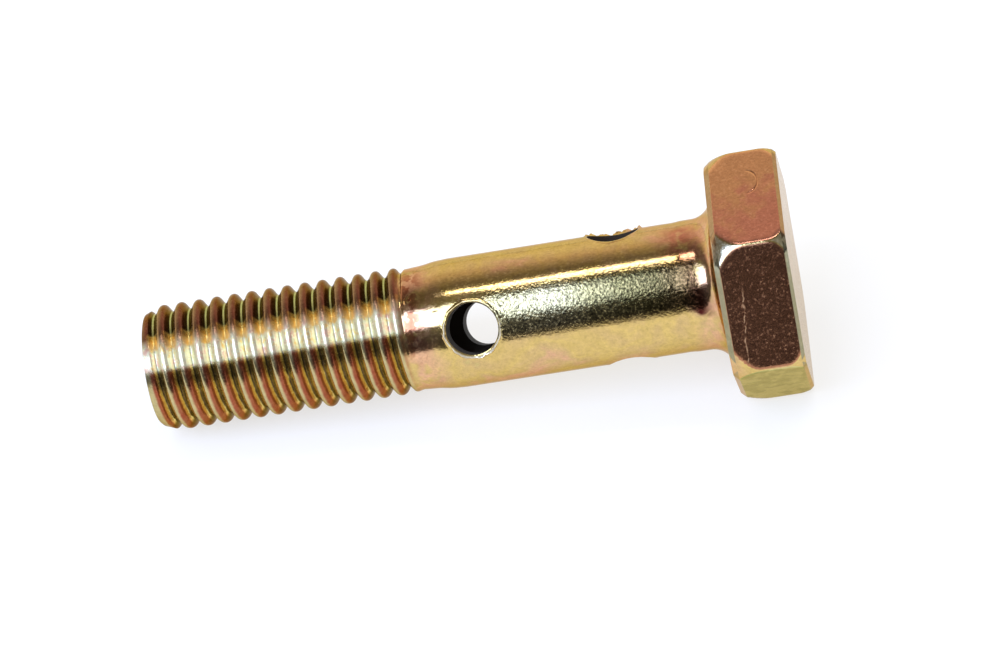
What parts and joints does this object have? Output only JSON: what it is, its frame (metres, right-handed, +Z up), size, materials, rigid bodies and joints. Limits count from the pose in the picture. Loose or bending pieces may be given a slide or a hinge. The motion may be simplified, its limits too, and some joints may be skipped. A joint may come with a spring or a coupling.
{
  "type": "banjo bolt",
  "caption": "Long hollow banjo bolt: hexagon head, plain shank crossed by oil holes at two levels, shouldered coarse right-hand thread, lying on a flat of its head.",
  "frame": {"origin": "centre of the head's bearing face, on the bolt's axis, where bolt length is measured from", "axes": "+Z up; +X towards the head, with the bolt's axis leaning 4.82 degrees up towards the head in the XZ plane, as it rests on a flat of its head and on its thread's tip; a flat of the head faces straight up from the axis"},
  "size_m": [0.0713, 0.0274, 0.0245],
  "materials": {
    "plated_steel": "yellow chromate over zinc plating, iridescent, lightly scuffed"
  },
  "bodies": {
    "root": {"banjo_bolt": "plated_steel"}
  },
  "joints": []
}
